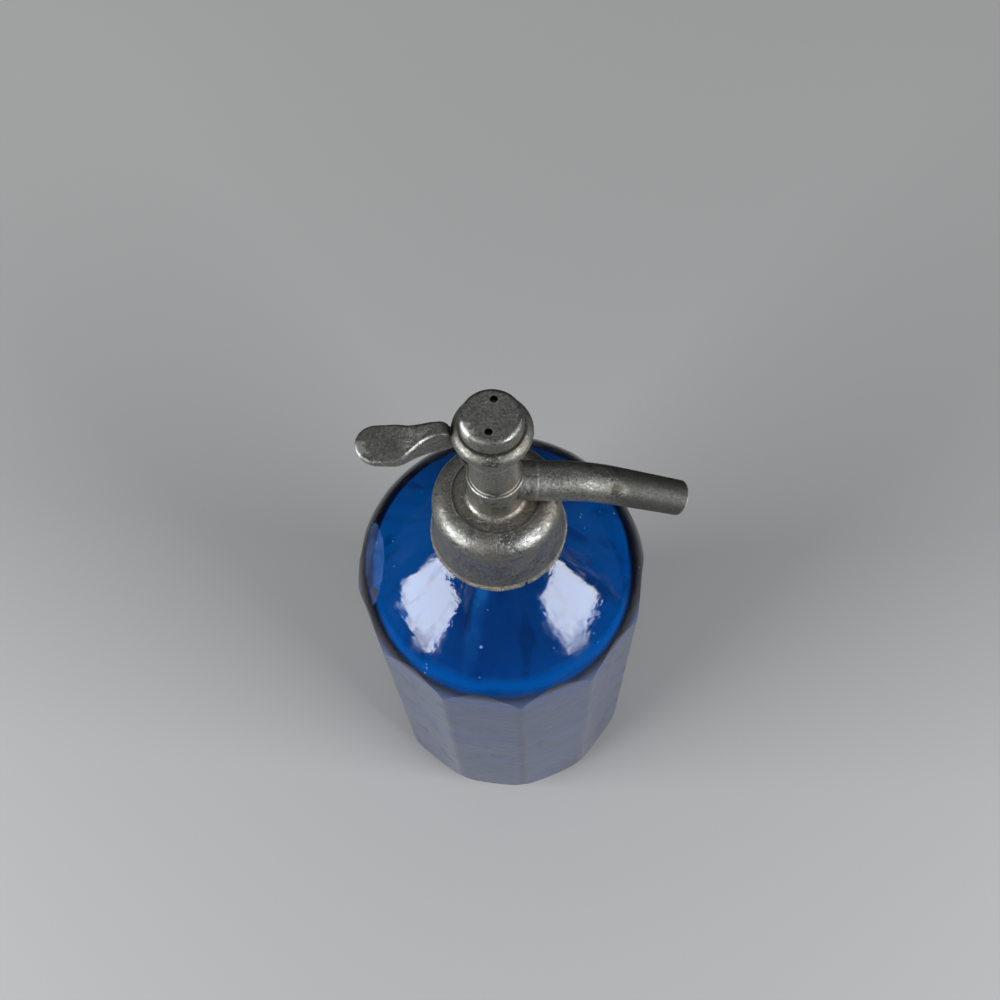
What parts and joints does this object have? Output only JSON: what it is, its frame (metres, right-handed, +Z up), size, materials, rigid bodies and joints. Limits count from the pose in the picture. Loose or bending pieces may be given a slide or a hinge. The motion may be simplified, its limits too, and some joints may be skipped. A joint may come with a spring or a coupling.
{
  "type": "soda siphon",
  "caption": "Twelve-sided blue glass soda siphon with a pewter head, thumb lever on a fulcrum pin, spring-closed spindle valve, dip tube and bent spout.",
  "frame": {"origin": "centre of the bottle's foot ring, on the surface it stands on", "axes": "+Z up along the bottle's axis, +X towards the spout, the thumb lever towards -X"},
  "size_m": [0.1237, 0.1132, 0.2781],
  "materials": {
    "blue_glass": "cobalt blue glass, thick and slightly wavy",
    "clear_glass": "drawn glass tube",
    "pewter": "worn cast pewter with brown patina",
    "brass": "turned, dull",
    "rubber": "matt black rubber",
    "leather": "cut leather edge, dried and striated",
    "steel": "drawn steel, bright on the spring and darkened on the pin"
  },
  "bodies": {
    "siphon": {"bottle": "blue_glass", "dip_tube": "clear_glass", "tube_bush": "rubber", "valve_seat": "brass", "seat_washer": "rubber", "lip_washer": "rubber", "collar_half_front": "pewter", "collar_half_back": "pewter", "neck_packing": "leather", "head_body": "pewter", "spout": "pewter", "packing_leather": "leather", "packing_washer": "brass", "gland_nut": "brass", "spring": "steel", "cap_washer": "leather", "cap": "pewter", "lever_pin": "steel"},
    "lever": {"lever": "pewter"},
    "spindle": {"spindle": "brass", "valve_cup": "brass", "valve_disc": "rubber"}
  },
  "joints": [
    {"name": "lever_press", "type": "hinge", "parent": "siphon", "child": "lever", "pos_m": [-0.0096, 0, 0.264], "axis": [0, -1, 0], "range_deg": [0, 14]},
    {"name": "spindle_lift", "type": "slide", "parent": "siphon", "child": "spindle", "axis": [0, 0, 1], "range_m": [0, 0.00243], "stiffness_N_per_m": 100, "springref_m": -0.003, "deforming": ["spring"]}
  ],
  "couplings": [
    {"joint": "lever_press", "follows": "spindle_lift", "rad_per_m": 100.17}
  ]
}
